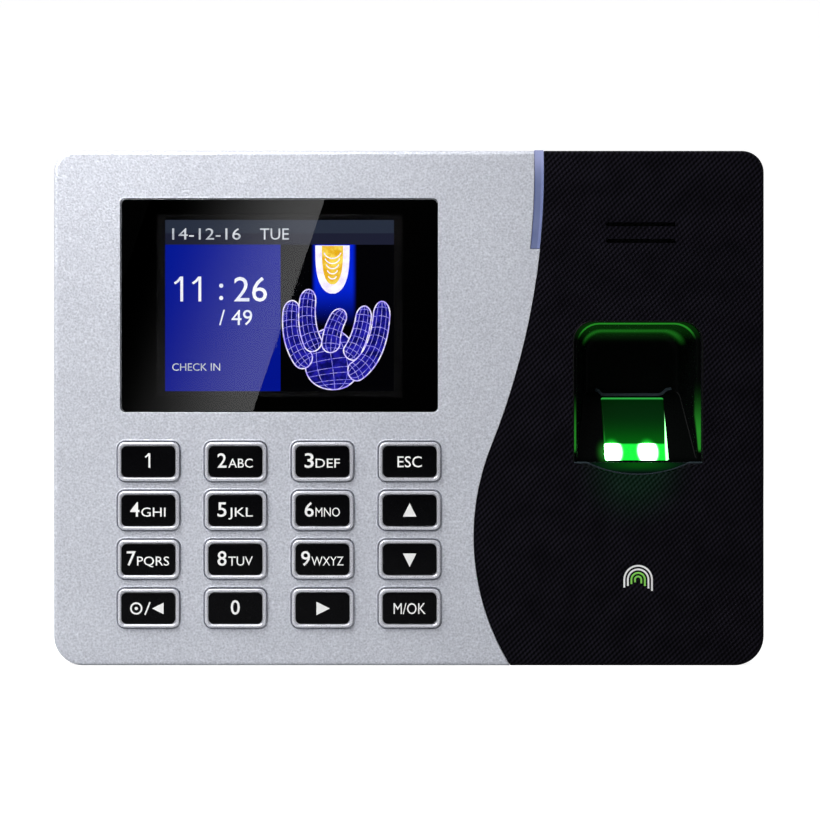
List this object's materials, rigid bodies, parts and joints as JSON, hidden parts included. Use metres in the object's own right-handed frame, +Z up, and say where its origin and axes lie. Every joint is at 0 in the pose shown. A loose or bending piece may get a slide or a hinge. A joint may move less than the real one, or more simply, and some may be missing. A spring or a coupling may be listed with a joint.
{
  "type": "fingerprint terminal",
  "caption": "Wall-mounted fingerprint terminal: silver cover with a colour display and keypad, a curved black panel with a finger recess, and a wall plate.",
  "frame": {"origin": "centre of the wall plate's four screw holes, in the wall plane", "axes": "+X to the user's right, +Z up, +Y into the wall; the front faces -Y"},
  "size_m": [0.18, 0.0372, 0.1306],
  "materials": {
    "silver_paint": "fine grained silver paint on ABS",
    "black_panel": "black with a fine diagonal weave pattern",
    "black_shell": "fine textured black ABS",
    "window_black": "clear acrylic, printed black from behind",
    "black_tape": "adhesive tape",
    "screen": "lit colour display",
    "white_plastic": "moulded white plastic",
    "flat_cable": "amber polyimide film",
    "light_pipe": "translucent lavender blue",
    "circuit_board": "green solder mask",
    "silicone": "soft grey silicone",
    "bright_metal": "plated steel",
    "gloss_black": "smooth gloss black",
    "prism_glass": "optical glass lit green",
    "green_light": "lit green",
    "cloth": "acoustic mesh",
    "chip_black": "moulded epoxy",
    "green_plastic": "moulded green plastic",
    "key_cap": "gloss black insert in a silver rim",
    "plate_steel": "zinc-plated sheet steel"
  },
  "bodies": {
    "terminal": {"front_cover": "silver_paint", "sensor_panel": "black_panel", "rear_shell": "black_shell", "display_window": "window_black", "window_tape": "black_tape", "lcd_panel": "screen", "lcd_bracket": "white_plastic", "lcd_ribbon": "flat_cable", "light_pipe": "light_pipe", "status_led": "circuit_board", "keypad_mat": "silicone", "keypad_board": "circuit_board", "key_domes": "bright_metal", "keypad_screws": "bright_metal", "keypad_ribbon": "flat_cable", "finger_well": "gloss_black", "sensor_prism": "prism_glass", "sensor_housing": "black_shell", "sensor_leds": "green_light", "sensor_lens": "black_shell", "sensor_board": "circuit_board", "sensor_screws": "bright_metal", "sensor_cable": "flat_cable", "speaker": "black_shell", "speaker_cloth": "cloth", "main_board": "circuit_board", "board_chips": "chip_black", "coin_cell": "bright_metal", "cell_holder": "black_shell", "ethernet_jack": "bright_metal", "terminal_block": "green_plastic", "power_inlet": "gloss_black", "stick_socket": "bright_metal", "ribbon_sockets": "white_plastic", "reset_switch": "bright_metal", "tamper_switch": "chip_black", "board_screws": "bright_metal", "case_screws": "bright_metal", "wall_plate": "plate_steel", "lock_screw": "bright_metal"},
    "reset_plunger": {"reset_button": "white_plastic"},
    "tamper_pin": {"tamper_plunger": "white_plastic"},
    "key_1": {"key_1": "key_cap"},
    "key_2": {"key_2": "key_cap"},
    "key_3": {"key_3": "key_cap"},
    "key_escape": {"key_escape": "key_cap"},
    "key_4": {"key_4": "key_cap"},
    "key_5": {"key_5": "key_cap"},
    "key_6": {"key_6": "key_cap"},
    "key_up": {"key_up": "key_cap"},
    "key_7": {"key_7": "key_cap"},
    "key_8": {"key_8": "key_cap"},
    "key_9": {"key_9": "key_cap"},
    "key_down": {"key_down": "key_cap"},
    "key_power_left": {"key_power_left": "key_cap"},
    "key_0": {"key_0": "key_cap"},
    "key_right": {"key_right": "key_cap"},
    "key_menu": {"key_menu": "key_cap"}
  },
  "joints": [
    {"name": "key_1_press", "type": "slide", "parent": "terminal", "child": "key_1", "axis": [0, 1, 0], "range_m": [0, 0.0008], "stiffness_N_per_m": 900, "springref_m": -0.0004},
    {"name": "key_2_press", "type": "slide", "parent": "terminal", "child": "key_2", "axis": [0, 1, 0], "range_m": [0, 0.0008], "stiffness_N_per_m": 900, "springref_m": -0.0004},
    {"name": "key_3_press", "type": "slide", "parent": "terminal", "child": "key_3", "axis": [0, 1, 0], "range_m": [0, 0.0008], "stiffness_N_per_m": 900, "springref_m": -0.0004},
    {"name": "key_escape_press", "type": "slide", "parent": "terminal", "child": "key_escape", "axis": [0, 1, 0], "range_m": [0, 0.0008], "stiffness_N_per_m": 900, "springref_m": -0.0004},
    {"name": "key_4_press", "type": "slide", "parent": "terminal", "child": "key_4", "axis": [0, 1, 0], "range_m": [0, 0.0008], "stiffness_N_per_m": 900, "springref_m": -0.0004},
    {"name": "key_5_press", "type": "slide", "parent": "terminal", "child": "key_5", "axis": [0, 1, 0], "range_m": [0, 0.0008], "stiffness_N_per_m": 900, "springref_m": -0.0004},
    {"name": "key_6_press", "type": "slide", "parent": "terminal", "child": "key_6", "axis": [0, 1, 0], "range_m": [0, 0.0008], "stiffness_N_per_m": 900, "springref_m": -0.0004},
    {"name": "key_up_press", "type": "slide", "parent": "terminal", "child": "key_up", "axis": [0, 1, 0], "range_m": [0, 0.0008], "stiffness_N_per_m": 900, "springref_m": -0.0004},
    {"name": "key_7_press", "type": "slide", "parent": "terminal", "child": "key_7", "axis": [0, 1, 0], "range_m": [0, 0.0008], "stiffness_N_per_m": 900, "springref_m": -0.0004},
    {"name": "key_8_press", "type": "slide", "parent": "terminal", "child": "key_8", "axis": [0, 1, 0], "range_m": [0, 0.0008], "stiffness_N_per_m": 900, "springref_m": -0.0004},
    {"name": "key_9_press", "type": "slide", "parent": "terminal", "child": "key_9", "axis": [0, 1, 0], "range_m": [0, 0.0008], "stiffness_N_per_m": 900, "springref_m": -0.0004},
    {"name": "key_down_press", "type": "slide", "parent": "terminal", "child": "key_down", "axis": [0, 1, 0], "range_m": [0, 0.0008], "stiffness_N_per_m": 900, "springref_m": -0.0004},
    {"name": "key_power_left_press", "type": "slide", "parent": "terminal", "child": "key_power_left", "axis": [0, 1, 0], "range_m": [0, 0.0008], "stiffness_N_per_m": 900, "springref_m": -0.0004},
    {"name": "key_0_press", "type": "slide", "parent": "terminal", "child": "key_0", "axis": [0, 1, 0], "range_m": [0, 0.0008], "stiffness_N_per_m": 900, "springref_m": -0.0004},
    {"name": "key_right_press", "type": "slide", "parent": "terminal", "child": "key_right", "axis": [0, 1, 0], "range_m": [0, 0.0008], "stiffness_N_per_m": 900, "springref_m": -0.0004},
    {"name": "key_menu_press", "type": "slide", "parent": "terminal", "child": "key_menu", "axis": [0, 1, 0], "range_m": [0, 0.0008], "stiffness_N_per_m": 900, "springref_m": -0.0004},
    {"name": "reset_press", "type": "slide", "parent": "terminal", "child": "reset_plunger", "axis": [0, 0, 1], "range_m": [0, 0.0003], "stiffness_N_per_m": 1500, "springref_m": -0.0003},
    {"name": "tamper_press", "type": "slide", "parent": "terminal", "child": "tamper_pin", "axis": [0, -1, 0], "range_m": [0, 0.0005], "stiffness_N_per_m": 600, "springref_m": -0.0008}
  ]
}
